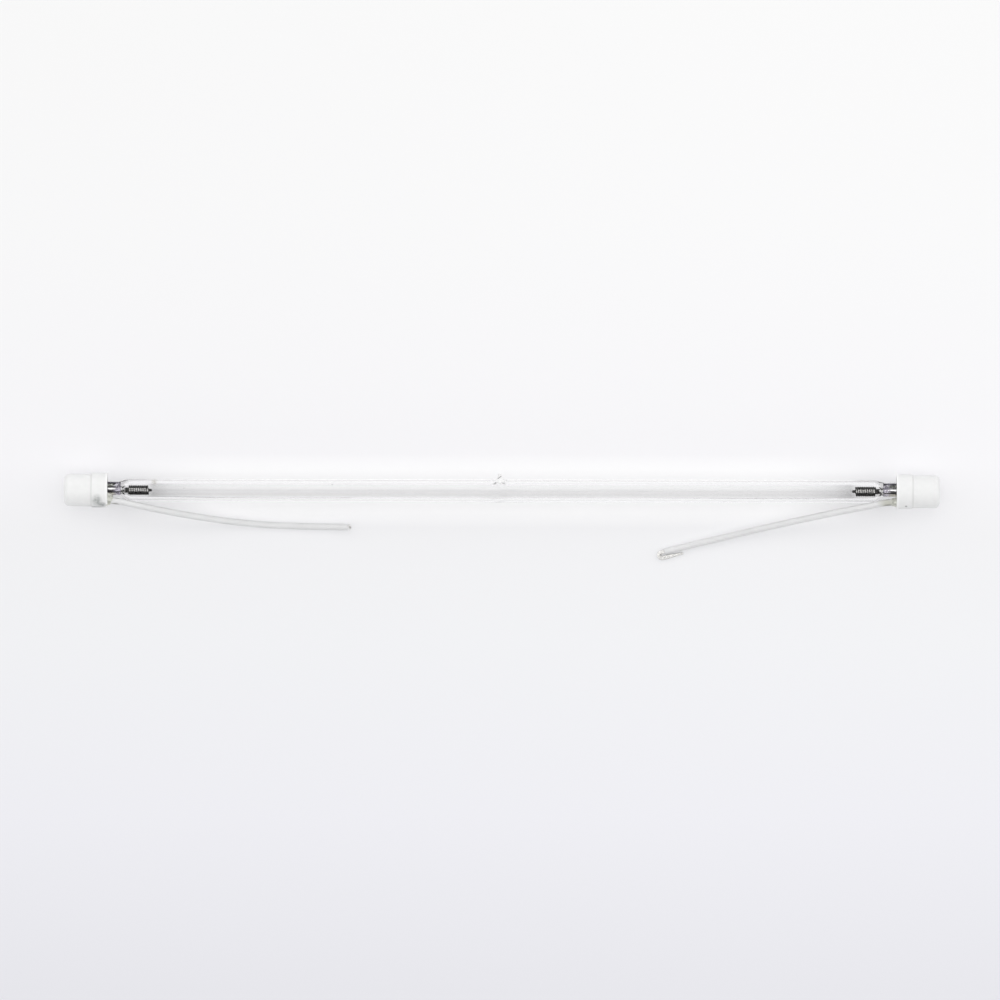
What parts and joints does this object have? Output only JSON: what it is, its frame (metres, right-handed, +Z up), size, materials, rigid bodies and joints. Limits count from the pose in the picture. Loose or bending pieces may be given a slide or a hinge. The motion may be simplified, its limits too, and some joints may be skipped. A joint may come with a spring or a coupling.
{
  "type": "strobe lamp",
  "caption": "Straight clear quartz flash tube with wound electrodes, foil seals, stepped ceramic end caps and a short insulated lead from each cap.",
  "frame": {"origin": "on the table under the middle of the lamp, below its axis", "axes": "+X along the lamp from the left cap to the right cap, +Z up from the table; the leads lie on the -Y side"},
  "size_m": [0.403, 0.0381, 0.016],
  "materials": {
    "quartz": "fire-polished, clear",
    "tungsten": "drawn wire and ground rod",
    "molybdenum": "bright foil with heat tint",
    "nickel": "drawn",
    "ceramic": "unglazed, fine",
    "cement": "matt",
    "insulation": "satin",
    "tinned_copper": "tinned strands"
  },
  "bodies": {
    "root": {"quartz_tube": "quartz", "left_electrode_rod": "tungsten", "left_electrode_coil": "tungsten", "left_seal_foil": "molybdenum", "left_lead_pin": "nickel", "left_lead_tail": "tinned_copper", "left_crimp_sleeve": "nickel", "left_ceramic_cap": "ceramic", "left_cap_cement": "cement", "left_lead": "insulation", "left_lead_tip": "tinned_copper", "right_electrode_rod": "tungsten", "right_electrode_coil": "tungsten", "right_seal_foil": "molybdenum", "right_lead_pin": "nickel", "right_lead_tail": "tinned_copper", "right_crimp_sleeve": "nickel", "right_ceramic_cap": "ceramic", "right_cap_cement": "cement", "right_lead": "insulation", "right_lead_tip": "tinned_copper"}
  },
  "joints": []
}
